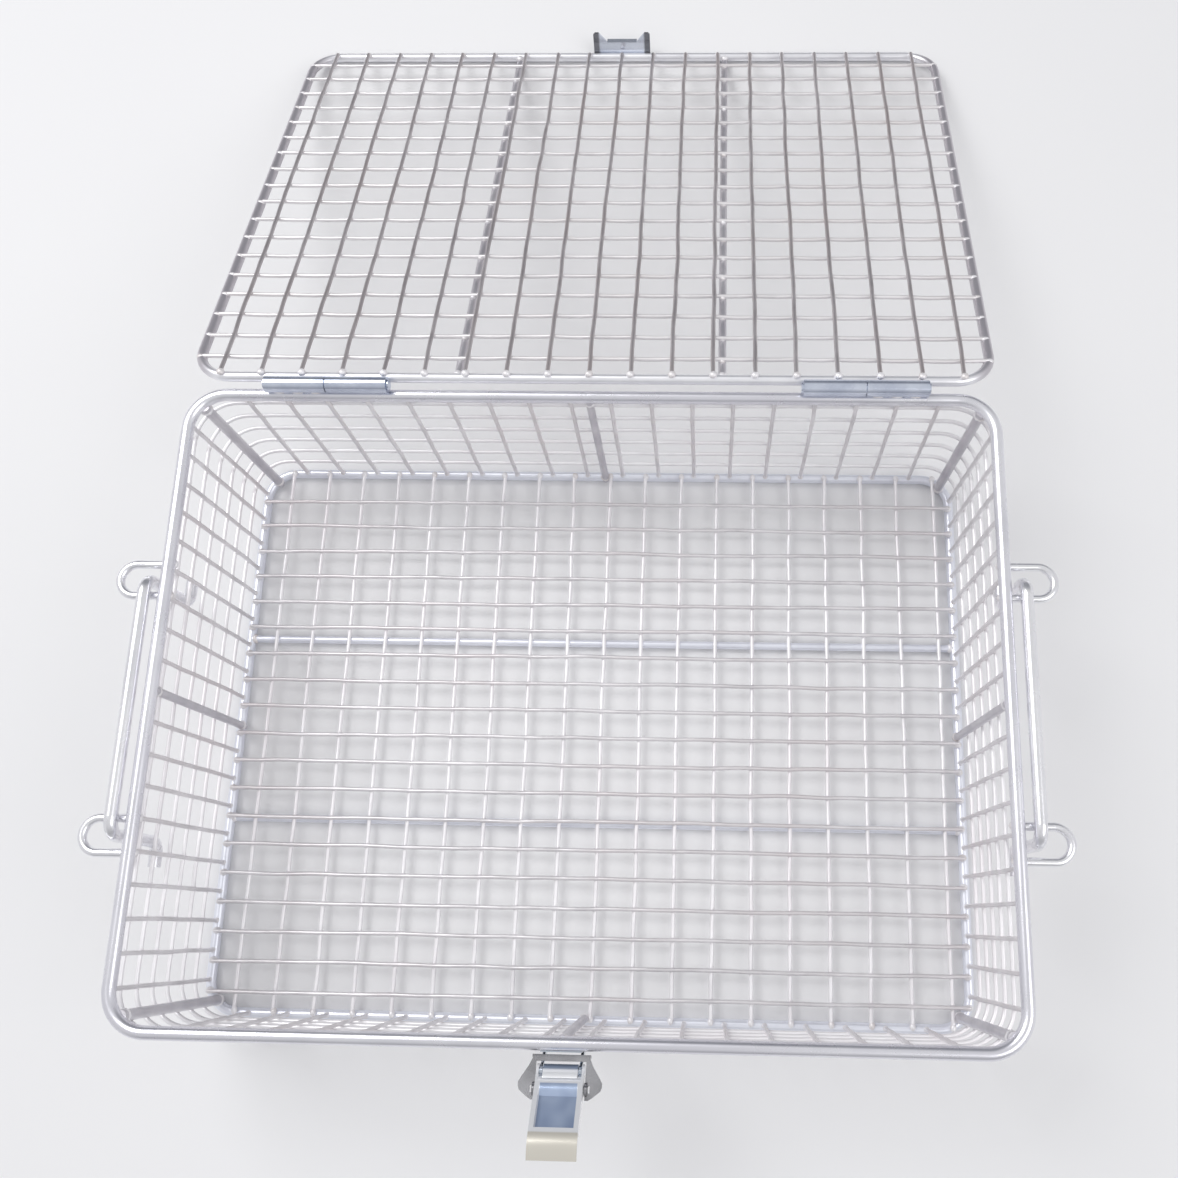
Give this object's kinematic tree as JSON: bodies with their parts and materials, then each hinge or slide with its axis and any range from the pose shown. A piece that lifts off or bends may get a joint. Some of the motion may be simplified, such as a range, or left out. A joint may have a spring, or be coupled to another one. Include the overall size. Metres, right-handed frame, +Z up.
{
  "type": "autoclave basket",
  "caption": "Rectangular steel wire basket for sterilising instruments, with a hinged wire lid hanging open at the back, drop handles on both sides and a toggle latch in front.",
  "frame": {"origin": "on the table, under the middle of the basket's bottom ring", "axes": "+X to the right along the basket's length, +Y to the back, towards the lid's hinges, +Z up"},
  "size_m": [0.446, 0.6342, 0.1212],
  "materials": {
    "frame_rod": "satin",
    "mesh_wire": "satin",
    "handle_rod": "satin",
    "hinge_steel": "satin",
    "latch_plate": "polished"
  },
  "bodies": {
    "basket": {"top_rim": "frame_rod", "bottom_ring": "frame_rod", "corner_post_front_left": "frame_rod", "corner_post_front_right": "frame_rod", "corner_post_back_left": "frame_rod", "corner_post_back_right": "frame_rod", "mid_post_front": "frame_rod", "mid_post_back": "frame_rod", "mid_post_left": "frame_rod", "mid_post_right": "frame_rod", "floor_rod_front": "frame_rod", "floor_rod_back": "frame_rod", "floor_mesh": "mesh_wire", "front_mesh": "mesh_wire", "back_mesh": "mesh_wire", "left_mesh": "mesh_wire", "right_mesh": "mesh_wire", "loop_left_front": "handle_rod", "loop_left_back": "handle_rod", "loop_right_front": "handle_rod", "loop_right_back": "handle_rod", "rim_knuckle_left": "hinge_steel", "rim_knuckle_right": "hinge_steel", "hinge_pin_left": "hinge_steel", "hinge_pin_right": "hinge_steel", "latch_base": "latch_plate", "lever_pin": "latch_plate"},
    "lid": {"lid_frame": "frame_rod", "lid_cross_rod_left": "frame_rod", "lid_cross_rod_right": "frame_rod", "lid_mesh": "mesh_wire", "lid_knuckle_left": "hinge_steel", "lid_knuckle_right": "hinge_steel", "keeper": "latch_plate"},
    "handle_left": {"handle_left": "handle_rod"},
    "handle_right": {"handle_right": "handle_rod"},
    "lever": {"latch_lever": "latch_plate", "claw_rivets": "latch_plate"},
    "claw": {"latch_claw": "latch_plate"}
  },
  "joints": [
    {"name": "lid_hinge", "type": "hinge", "parent": "basket", "child": "lid", "pos_m": [0, 0.15151, 0.1099], "axis": [1, 0, 0], "range_deg": [0, 200.66]},
    {"name": "handle_left_lift", "type": "slide", "parent": "basket", "child": "handle_left", "axis": [0, 0, 1], "range_m": [0, 0.0378]},
    {"name": "handle_right_lift", "type": "slide", "parent": "basket", "child": "handle_right", "axis": [0, 0, 1], "range_m": [0, 0.0378]},
    {"name": "lever_hinge", "type": "hinge", "parent": "basket", "child": "lever", "pos_m": [0, -0.1605, 0.0984], "axis": [1, 0, 0], "range_deg": [0, 126.5]},
    {"name": "claw_hinge", "type": "hinge", "parent": "lever", "child": "claw", "pos_m": [0, -0.16734, 0.10096], "axis": [-1, 0, 0], "range_deg": [-0.5, 27]}
  ],
  "couplings": [
    {"joint": "claw_hinge", "follows": "lever_hinge", "ratio": 0.20158}
  ]
}
